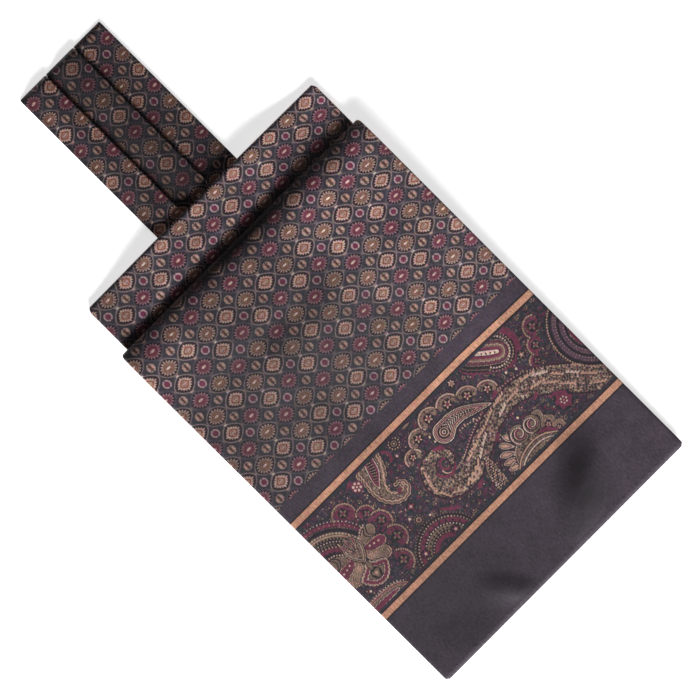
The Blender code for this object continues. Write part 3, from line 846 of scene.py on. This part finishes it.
    # Half palmette on the lower stripe
    for x, y, turn, size in ((18.4, 47, 166, 6.8), (18.8, 50, 163, 7.4), (19.6, 52.6, 150, 7.4),
            (21, 55, 132, 7.2), (23.4, 56.4, 116, 6.4)):
        b.petal(x, y, size, 1.6, turn, "-0.35 dark, 0 pale, 0.45 wine, 0.8 tan")
    body = [(28, 41, 13.4), (28.5, 44.5, 12)]
    at, t, s, edge = b.stem(body, "-0.4 dark, 0 tan, 0.45 dark, 0.8 olive")
    b.mosaic(at, b.u[at], b.v[at], edge + 1.2, 1.15, 1.1, 0.4, "tan dark wine olive dark", 9)
    b.beads([(18, 51.5, 1), (22.5, 54.4, 1), (29, 55.6, 1), (36, 53, 1), (40, 48, 1)], 1.3, 0.4,
        "pale")
    for x, y, r in ((40.2, 51.6, 3.4), (38.6, 57.6, 2.5), (43, 47.2, 2.6)):
        b.stem(arc(x, y, r - 0.8, 150, -60, 0.85), "-0.3 dark, 0 tan, 0.4 olive", wavy=0.4)
        b.flower(x - 0.6, y - 0.6, r * 0.42, 5, "tan", "wine")
    for x, y, r in ((26.6, 57.4, 4.6), (34, 56.8, 4.3)):
        b.dots([(x, y)], r + 0.35, "dark")
        b.dots([(x, y)], r - 0.1, "olive")
        for inset, ink in zip((1.15, 1.7, 2.1, 2.8), ("dark", "tan", "wine", "olive")):
            b.dots([(x + inset * 0.25, y - inset * 0.2)], r - inset, ink)
        curl = zip(np.linspace(1, 0.3, 22), np.linspace(-120, -480, 22))
        b.stem([(*away(x, y, r * f, a), 0.32) for f, a in curl], "-0.25 dark, 0 pale")
        b.beads(arc(x, y, r * 0.74, 230, -40), 1.2, 0.3, "tan")
    for fall, ink in zip((0, 2.3), ("tan", "pale")):
        b.stem([(15.5, 45.6 - fall, 0.3), (20, 48.8 - fall, 0.38), (27, 50.6 - fall, 0.38),
            (34, 49.8 - fall, 0.38), (40.5, 45.8 - fall, 0.3)], "-0.3 dark, 0 " + ink)
    b.beads([(17, 45.8, 1), (21, 48, 1), (27, 49.4, 1), (33, 48.6, 1), (38, 45.8, 1)], 1.1, 0.36,
        "olive")
    b.stem([(33, 51.8, 0.4), (37.5, 50, 0.9), (41, 46.6, 0.5)], "-0.2 dark, 0 wine")

    # Dotted flower on a wine ground, and a few last spots
    b.flower(52.6, 54, 4.4, 6, "wine", "wine", 0.3, 0.12)
    b.spots(52.6, 54, 1.5, 6, 0.46, "pale")
    b.dots([(52.6, 54)], 0.42, "tan")
    b.stem([(49, 59.6, 0.4), (52.5, 58.6, 0.8), (56, 56, 0.4)], "0 wine")
    for x, y in ((18.6, 63.4), (31.8, 78.4), (44.6, 64.4), (-45.4, 96.4), (-2.6, 53.4)):
        b.stem([(x - 1.6, y - 0.6, 0.4), (x, y, 0.9), (x + 1.6, y + 0.8, 0.4)], "0 wine")
    # Nothing reaches the stripes
    margin = np.maximum(BAND_LOW + 1 - v, v - (BAND_HIGH - 1))
    b.lay(np.arange(len(u)), None, -margin)
    fields = [b.ink[name] for name in INKS]
    return np.stack(fields[:3], 1), np.stack(fields[3:], 1)


def border_inks(u, v, side):
    """The drawn border where it falls on the face of the cloth, and no ink elsewhere."""
    first, second = np.full((2, len(u), 3), NO_INK)
    on = (side > -0.5) & (v > BAND_LOW - 1.5) & (v < BAND_HIGH + 1.5)
    first[on], second[on] = draw_border(u[on], v[on])
    return first, second


# ---- shader algebra
def plug(value, socket):
    if isinstance(value, Sig):
        value.tree.links.new(value.socket, socket)
    else:
        socket.default_value = value


def add_node(tree, kind, **inputs):
    """A new shader node; each named input takes a plain value or a Sig."""
    node = tree.nodes.new("ShaderNode" + kind)
    for name, value in inputs.items():
        plug(value, node.inputs[name.replace("_", " ")])
    return node


class Sig:
    """One shader value; Python arithmetic on it adds Math nodes to its tree."""

    def __init__(self, tree, socket):
        self.tree, self.socket = tree, socket

    def math(self, kind, *others):
        node = add_node(self.tree, "Math")
        node.operation = kind
        for value, socket in zip((self,) + others, node.inputs):
            plug(value, socket)
        return Sig(self.tree, node.outputs[0])

    def __rsub__(self, other):
        return self * -1.0 + other

    def near(self, value):
        return self.math("COMPARE", value, 0.25)

    def fade(self, full, none):
        """1 where the value is at full or beyond, 0 at none, soft between."""
        node = add_node(self.tree, "MapRange", Value=self,
                        From_Min=min(full, none), From_Max=max(full, none),
                        To_Min=float(full < none), To_Max=float(full > none))
        node.interpolation_type = "SMOOTHSTEP"
        return Sig(self.tree, node.outputs["Result"])


def math_method(kind):
    return lambda self, *others: self.math(kind, *others)


for method, kind in (("__add__", "ADD"), ("__sub__", "SUBTRACT"), ("__mul__", "MULTIPLY"),
                     ("__truediv__", "DIVIDE"), ("floor", "FLOOR"), ("abs", "ABSOLUTE"),
                     ("sqrt", "SQRT"), ("cos", "COSINE"), ("power", "POWER"),
                     ("mod", "FLOORED_MODULO"), ("most", "MAXIMUM"), ("angle", "ARCTAN2")):
    setattr(Sig, method, math_method(kind))


def colour_mix(below, above, mask, blend="MIX"):
    """The colour above over the colour below, where the mask is 1."""
    tree = next(value.tree for value in (mask, above, below) if isinstance(value, Sig))
    node = add_node(tree, "Mix")
    node.data_type, node.blend_type = "RGBA", blend
    for value, socket in ((mask, 0), (below, 6), (above, 7)):
        plug(value, node.inputs[socket])
    return Sig(tree, node.outputs[2])


def coats(colour, *layers):
    """The colour with others laid over it in turn, each where its mask is 1."""
    for above, mask in layers:
        colour = colour_mix(colour, above, mask)
    return colour


def colour_ramp(value, stops):
    node = add_node(value.tree, "ValToRGB", Fac=value)
    ramp = node.color_ramp
    while len(ramp.elements) < len(stops):
        ramp.elements.new(0.5)
    for element, (at, colour) in zip(ramp.elements, stops):
        element.position, element.color = at, colour
    return Sig(value.tree, node.outputs["Color"])


def attribute(tree, name):
    """The three numbers of a cloth attribute, and the whole of it as a vector."""
    node = add_node(tree, "Attribute")
    node.attribute_name = name
    vector = Sig(tree, node.outputs["Vector"])
    split = add_node(tree, "SeparateXYZ", Vector=vector)
    return [Sig(tree, s) for s in split.outputs], vector


def noise(tree, vector, scale, detail, stretch=None, output="Fac"):
    """Noise over the cloth; stretch is a turn in degrees and the scale of two directions."""
    if stretch:
        turn, first, second = stretch
        mapping = add_node(tree, "Mapping", Vector=vector, Rotation=(0, 0, math.radians(turn)),
                           Scale=(first, second, 1))
        vector = Sig(tree, mapping.outputs["Vector"])
    node = add_node(tree, "TexNoise", Vector=vector, Scale=scale, Detail=detail)
    return Sig(tree, node.outputs[output])


# ---- colours
GROUND, GROUND_DARK = srgb(72, 62, 72), srgb(56, 54, 60)
SLATE = srgb(88, 88, 100)
SHADE, TEETH = srgb(66, 48, 54), srgb(36, 26, 30)
FRAME_LINE, CROSS = srgb(146, 130, 128), srgb(126, 104, 101)
PINK, BURGUNDY, LENS = srgb(174, 142, 149), srgb(112, 48, 70), srgb(214, 188, 180)
DISC_LIGHT = srgb(193, 157, 146)
KNOT, KNOT_PINK = srgb(206, 190, 180), srgb(190, 152, 142)
PLAIN, PLAIN_DARK = srgb(70, 59, 71), srgb(31, 27, 33)
STRIPE, STRIPE_SHADE = srgb(218, 160, 132), srgb(192, 138, 114)
# Tan, olive, wine, pale, plum, dark, in the order of INKS
INK_COLOURS = (srgb(197, 154, 135), srgb(128, 104, 92), srgb(116, 51, 75),
               srgb(214, 182, 168), srgb(92, 66, 86), srgb(44, 36, 44))
CLOTH_LEVEL = 0.72
# Painted light and shade on the cloth, ovals made lighter or darker: u, v, reach along, across,
# turn, change
FRONT_PAINTED_LIGHT = (
    (-20, 150, 84, 62, 0, -0.38),
    (41, 190, 34, 36, 0, 0.46),
    (50, 200, 34, 7.5, 0, 0.3),
    (40, 160, 18, 44, 0, 0.17),
    (-23, 152, 18, 36, 0, -0.07),
    (-5, 72, 28, 32, 0, 0.14),
    (68, 76, 26, 42, 0, -0.14),
    (-70, 192, 28, 30, 0, 0.22),
    (32, 27, 31, 13, 40, -0.4),
    (-25, 11, 20, 7, -52, -0.26),
    (-50, 20, 20, 28, 0, -0.24),
    (60, 12, 38, 18, 0, 0.14),
    (35, 20, 16, 18, 0, -0.32),
    (-26, 22, 16, 18, 0, -0.18),
    (26, 11, 16, 6.5, 22, -0.32),
    (-21, 4, 8, 5.5, 0, -0.24),
    (28, 203, 13, 6.5, 0, -0.28),
    (0, 208, 46, 5.5, 0, -0.4),
    (46, 210, 28, 5, 0, -0.3),
    (0, 214, 120, 7, 0, -0.76),
)
# Painted light beyond the valley and painted shade at its foot, on the turnover
TURN_PAINTED_LIGHT = (
    (-22, 53.5, 75, 5.4, 0, 0.95),
    (0, 49, 120, 3.2, 0, -0.62),
)
UNEVEN = (0.44, 0.50, 0.90, 0.60)      # unevenness of the dye: clouds, patches, grain, flecks
MOTTLE = 0.45                          # how far the dye strays in hue from thread to thread
STITCH_PITCH, STITCH_LINE = 4.2, 2.2   # pricked stitches that close the tip, mm
RIB_PITCH, HATCH_PITCH = 0.62, 0.95    # the twill's rib and the stripes' fine hatching, mm
RELIEF_STRENGTH, RELIEF_HEIGHT = 0.35, 0.00022
NECK_GAMMA = 1.15                      # the neck band's print is deeper in contrast


def steps(*stops):
    """Stops of a colour ramp, each written as (place, red, green, blue)."""
    return [(at, srgb(*colour)) for at, *colour in stops]


# From the middle of each motif to its edge
TAN_STEPS = steps((0, 134, 92, 76), (0.26, 126, 80, 64), (0.38, 188, 147, 133),
    (0.5, 122, 72, 58), (0.61, 140, 90, 74), (0.74, 200, 163, 153), (0.95, 199, 164, 156))
OLIVE_STEPS = steps((0, 130, 88, 68), (0.32, 112, 72, 56), (0.45, 152, 112, 94),
    (0.57, 100, 66, 56), (0.74, 149, 119, 111), (1, 171, 143, 134))
WINE_STEPS = steps((0, 128, 64, 78), (0.4, 116, 56, 70), (0.56, 94, 48, 60), (0.72, 126, 76, 90),
    (0.9, 156, 114, 124))
DISC_STEPS = steps((0, 120, 80, 70), (0.45, 116, 84, 78), (0.66, 112, 84, 80),
    (0.82, 169, 141, 134), (0.95, 159, 135, 130))
RING_STEPS = ((0.0, BURGUNDY), (0.45, BURGUNDY), (0.58, srgb(80, 52, 66)), (0.72, PINK),
              (0.9, PINK))
# The border's ground changes hue from place to place
BAND_STEPS = steps((0.3, 70, 46, 66), (0.46, 58, 48, 60), (0.56, 50, 56, 58), (0.68, 52, 50, 68))


def foulard_group():
    """The small repeat: figured diamonds in three colourings, discs and rings between."""
    tree = bpy.data.node_groups.new("foulard", "ShaderNodeTree")
    for name, way, kind in (("Column", "INPUT", "Float"), ("Row", "INPUT", "Float"),
                            ("Colour", "OUTPUT", "Color")):
        tree.interface.new_socket(name, in_out=way, socket_type="NodeSocket" + kind)
    start = tree.nodes.new("NodeGroupInput")
    end = tree.nodes.new("NodeGroupOutput")
    column, row = Sig(tree, start.outputs["Column"]), Sig(tree, start.outputs["Row"])

    def oval(x, y, half_x, half_y, full, none):
        """A soft-edged oval spot round the place where x and y are both 0."""
        return ((x / half_x).power(2) + (y / half_y).power(2)).fade(full, none)

    # Small motif between four diamonds: a disc with a slash, or a ring round a spot
    c_low, r_low = column.floor(), row.floor()
    p = (column - c_low - 0.5) * COLUMN_PITCH
    q = (row - r_low - 0.5) * ROW_PITCH
    third, odd = r_low.mod(3), c_low.mod(2)
    is_ring = (third.near(0) * odd).most(third.near(2) * (1 - odd))
    field = p.abs() / (COLUMN_PITCH / 2) + q.abs() / (ROW_PITCH / 2)
    radius = (p * p + q * q).sqrt() / 2.05
    petals = (p.angle(q) * 8).cos() * 0.5 + 0.5
    pa, qa = p.abs(), q.abs()
    halves = oval(pa - 1.08, q, 0.48, 1.15, 0.35, 1.1)
    nick = pa.fade(0.1, 0.45) * qa.fade(1.5, 0.9)
    edges = radius.fade(0.95, 0.7) * petals
    disc = coats(colour_ramp(radius, DISC_STEPS), (DISC_LIGHT, halves * 0.8),
                 (TEETH, pa.fade(0.1, 0.34) * 0.85), (SHADE, edges * 0.45))
    ring = coats(colour_ramp(radius, RING_STEPS), (GROUND_DARK, nick * 0.75),
                 (GROUND_DARK, edges * 0.3))
    colour = coats(GROUND, (GROUND_DARK, field.fade(0.6, 0.84)),
                   (SLATE, (field - 0.93).abs().fade(0.01, 0.1) * 0.6),
                   (SHADE, radius.fade(1, 1.25) * 0.5),
                   (colour_mix(disc, ring, is_ring), radius.fade(0.93, 1.06)))

    # Large motif, centred on whole columns and rows
    c_mid, r_mid = (column + 0.5).floor(), (row + 0.5).floor()
    p = (column - c_mid) * COLUMN_PITCH
    q = (row - r_mid) * ROW_PITCH
    kind = (c_mid.mod(2) - r_mid + 2).mod(3)
    wine, olive, tan = kind.near(0), kind.near(1), kind.near(2)
    pa, qa = p.abs(), q.abs()
    shape = (pa / 5.5).power(1.5) + (qa / 4.35).power(1.5)
    a = p / 3.95
    b = q / 3.3
    round_it = (a * a + b * b).sqrt()
    radius = round_it + (a.abs() + b.abs() - round_it) * (tan * 0.32 + 0.22)
    lobe = (a.angle(b) * 16).cos() * 0.5 + 0.5
    teeth = (radius - 1.08).abs().fade(0.1, 0.22) * lobe.fade(0.35, 0.75)
    reach = lobe * (olive * 0.06 + wine * 0.1 + 0.1) + 0.91 - wine * 0.06
    groove = radius.fade(0.92, 0.66) * lobe.fade(0.3, 0.7) * (0.75 - tan * 0.2)
    motif = coats(colour_ramp(radius, TAN_STEPS), (colour_ramp(radius, OLIVE_STEPS), olive),
                  (colour_ramp(radius, WINE_STEPS), wine), (TEETH, groove))
    # Outer shade, frame, teeth and motif, then its eye, the two knots and the side cross
    colour = coats(
        colour, (SHADE, shape.fade(0.86, 1) * (1 - wine * 0.7)),
        (FRAME_LINE, (shape - 1).abs().fade(0.02, 0.12) * (tan * 0.85 + olive * 0.6)),
        (TEETH, teeth * 0.9), (motif, (radius - reach).fade(-0.03, 0.06)),
        (LENS, oval(p, q, 1.2, 0.52, 0.4, 1.5) * (0.92 - tan * 0.4 - wine * 0.12)),
        (KNOT, oval(pa, q - 4.75, 0.75, 0.45, 0.5, 1.7) * (tan * 0.75 + 0.12)),
        (KNOT_PINK, oval(pa, q + 4.6, 0.95, 0.42, 0.5, 1.7) * (tan * 0.6 + olive * 0.25 + 0.15)),
        (CROSS, oval(pa - COLUMN_PITCH / 2, qa, 0.75, 0.6, 0.3, 1.7) * 0.6))
    tree.links.new(colour.socket, end.inputs["Colour"])
    return tree


def with_border(tree, colour, cloth, u, v, row):
    """The print ends above the stripes, and the figured border lies between them."""
    half = (BAND_HIGH - BAND_LOW) / 2
    inside = (v - BAND_LOW - half).abs().fade(half, half + 0.8)
    colour = coats(colour, (PLAIN, row.fade(FOULARD_START - 0.01, FOULARD_START + 0.02)),
                   (colour_ramp(noise(tree, cloth, 0.3, 2), BAND_STEPS), inside))
    for name, colours in (("ink_a", INK_COLOURS[:3]), ("ink_b", INK_COLOURS[3:])):
        fields, _ = attribute(tree, name)
        for field, ink in zip(fields, colours):
            colour = colour_mix(colour, ink, field.fade(-0.14, 0.14))
    droop = u.fade(80, 25) * 1.3
    hatch = (u * (2 * math.pi / HATCH_PITCH)).cos().fade(0.2, 1)
    stripe = colour_mix(STRIPE_SHADE, STRIPE, hatch)
    for at, fall in ((STRIPE_LOW, 0.3), (STRIPE_HIGH, 1)):
        off = (v - at + droop * fall).abs()
        colour = coats(colour, (PLAIN_DARK, off.fade(STRIPE_HALF + 0.4, STRIPE_HALF + 1)),
                       (stripe, off.fade(STRIPE_HALF - 0.25, STRIPE_HALF + 0.2)))
    return colour


def silk_material(name, painted_light_level=1, painted_light_slope=0.002, painted_light_ovals=(), border=False, plain=False,
                  stitched=False, toned=False):
    """Printed silk twill: colour from the print, with painted light and shade, a fine diagonal rib,
    a soft sheen.
    """
    material = bpy.data.materials.new(name)
    material.use_nodes = True
    tree = material.node_tree
    tree.nodes.clear()
    (u, v, side), cloth = attribute(tree, "cloth")
    (column, row, _), _ = attribute(tree, "lattice")
    shifts = [noise(tree, cloth, 0.16, 1), noise(tree, cloth, 0.17, 1)]
    colour = PLAIN
    if not plain:
        group = tree.nodes.new("ShaderNodeGroup")
        group.node_tree = FOULARD
        plug(column + (shifts[0] - 0.5) * 0.05, group.inputs["Column"])
        plug(row + (shifts[1] - 0.5) * 0.05, group.inputs["Row"])
        colour = Sig(tree, group.outputs["Colour"])
    if border:
        colour = with_border(tree, colour, cloth, u, v, row)
    # Uneven dye and the lie of the threads, then painted light and shade
    cloudy = noise(tree, cloth, 0.035, 3)
    patchy = noise(tree, cloth, 0.12, 2)
    grain = noise(tree, cloth, 1.15, 2, stretch=(45, 1, 0.45))
    fleck = noise(tree, cloth, 2.4, 1)
    level = CLOTH_LEVEL
    for pattern, share in zip((cloudy, patchy, grain, fleck), UNEVEN):
        level = (pattern - 0.5) * share + level
    # Painted light: brighter towards +u, and each piece made lighter or darker as a whole
    level = level * (u * painted_light_slope + 1) * painted_light_level
    # Darker towards the tip
    if border:
        level = level * (v.fade(112, 20) * 0.22 + 0.76)
    # Painted light and shade: each oval makes the cloth lighter or darker
    painted_light_factor = 1
    for at_u, at_v, along, across, turn, change in painted_light_ovals:
        p, q = turned(u - at_u, v - at_v, turn)
        far = (p / along).power(2) + (q / across).power(2)
        painted_light_factor = far.fade(0, 1) * change + painted_light_factor
    level = level * painted_light_factor
    # Painted light and shade from the band's point attribute, and the print's contrast deepened
    if toned:
        level = level * attribute(tree, "neck_painted_light")[0][0]
        deepen = add_node(tree, "Gamma", Color=colour, Gamma=NECK_GAMMA)
        colour = Sig(tree, deepen.outputs["Color"])
    bright = add_node(tree, "CombineXYZ", X=level, Y=level, Z=level)
    mottle = v.fade(BAND_LOW + 1.6, STRIPE_LOW - 2) * MOTTLE if border else MOTTLE
    colour = colour_mix(colour, noise(tree, cloth, 1.25, 1, output="Color"), mottle, "OVERLAY")
    colour = colour_mix(colour, Sig(tree, bright.outputs[0]), 1, "MULTIPLY")
    # Twill rib, thread grain and the pricked stitches of the closed tip, as height
    rib = ((u + v) * (2 * math.pi / RIB_PITCH)).cos()
    height = rib * 0.1 + grain * 0.55 + fleck * 0.22
    if stitched:
        prick = ((u.mod(STITCH_PITCH) - STITCH_PITCH / 2) / 0.9).power(2)
        prick = (prick + ((v - STITCH_LINE) / 0.35).power(2)).fade(0.2, 1.2)
        height = height - prick * side.fade(0.9, 0.5) * 1.4
    bump = add_node(tree, "Bump", Strength=RELIEF_STRENGTH, Distance=RELIEF_HEIGHT,
                    Height=height)
    shader = add_node(tree, "BsdfPrincipled", Base_Color=colour,
                      Normal=Sig(tree, bump.outputs["Normal"]), Roughness=0.62,
                      Specular_IOR_Level=0.28, Sheen_Weight=0.1, Sheen_Roughness=0.45,
                      Sheen_Tint=srgb(205, 196, 214))
    add_node(tree, "OutputMaterial", Surface=Sig(tree, shader.outputs[0]))
    return material


# ---- floor
floor_mesh = bpy.data.meshes.new("floor")
floor_mesh.from_pydata([(-3, -3, 0), (3, -3, 0), (3, 3, 0), (-3, 3, 0)], [], [(0, 1, 2, 3)])
floor_obj = add_object("floor", floor_mesh)
paper = bpy.data.materials.new("paper")
paper.use_nodes = True
paper_shader = paper.node_tree.nodes["Principled BSDF"]
paper_shader.inputs["Base Color"].default_value = (0.9, 0.9, 0.9, 1)
paper_shader.inputs["Roughness"].default_value = 0.9
paper_shader.inputs["Emission Color"].default_value = (1, 1, 1, 1)
paper_shader.inputs["Emission Strength"].default_value = 0.66
floor_mesh.materials.append(paper)

# ---- build the pieces
FOULARD = foulard_group()
silk_front = silk_material("silk_front", painted_light_ovals=FRONT_PAINTED_LIGHT, border=True, stitched=True)
silk_turn = silk_material("silk_turnover", painted_light_level=1.28, painted_light_slope=0.0055, painted_light_ovals=TURN_PAINTED_LIGHT)
silk_neck = silk_material("silk_neck", painted_light_level=0.85, toned=True)
silk_layers = silk_material("silk_layers", plain=True)
silk_neck_under = silk_material("silk_neck_under", plain=True)

front = build_front(silk_front, border_inks)
turnover = build_turnover(silk_turn)
layers = build_layers(silk_layers)
neck = build_neck(silk_neck)
neck_under = build_neck_under(silk_neck_under)

# The CAD part that each cloth piece stands in for is hidden
for piece, node, slot, flat, rests in (
        (front, "blade_front", "silk_front", (0.31, 0.24), (layers, turnover)),
        (turnover, "blade_turnover", "silk_turnover", (0.296, 0.11), (neck, floor_obj)),
        (layers, "folded_layers", "silk_layers", (0.307, 0.184), floor_obj),
        (neck, "neck_band_upper", "silk_neck", (0.16, 0.144), neck_under),
        (neck_under, "neck_band_lower", "silk_neck_under", (0.104, 0.14), floor_obj)):
    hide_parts(node)


# ---- light, camera
def soft_light(name, towards, distance, size, watts):
    """A square lamp that way from the middle of the cloth, facing it."""
    lamp = bpy.data.lights.new(name, "AREA")
    lamp.shape, lamp.size, lamp.energy = "SQUARE", size, watts
    obj = add_object(name, lamp)
    z = np.array(towards) / np.linalg.norm(towards)
    x = np.cross([0, 0, 1], z)
    x /= np.linalg.norm(x)
    matrix = np.eye(4)
    matrix[:3] = np.stack([x, np.cross(z, x), z, z * distance], 1)
    obj.matrix_world = matrix.T.tolist()


soft_light("key", (-0.48, -0.88, 0.50), 2.6, 1.3, 162.0)
soft_light("fill", (0.9, 0.1, 1.0), 2.4, 1.6, 3.0)
world = bpy.data.worlds.new("studio")
bpy.context.scene.world = world
world.use_nodes = True
world.node_tree.nodes["Background"].inputs["Color"].default_value = (1, 1, 1, 1)
world.node_tree.nodes["Background"].inputs["Strength"].default_value = 0.055

camera_data = bpy.data.cameras.new("camera")
camera_data.lens, camera_data.sensor_width = 200.0, 36.0
camera = add_object("camera", camera_data)
camera.location = (-0.00085, -0.0249, 1.802)
camera.rotation_euler = (0.0, 0.0, math.radians(-45.1))
bpy.context.scene.camera = camera
bpy.context.scene.view_settings.view_transform = "Standard"
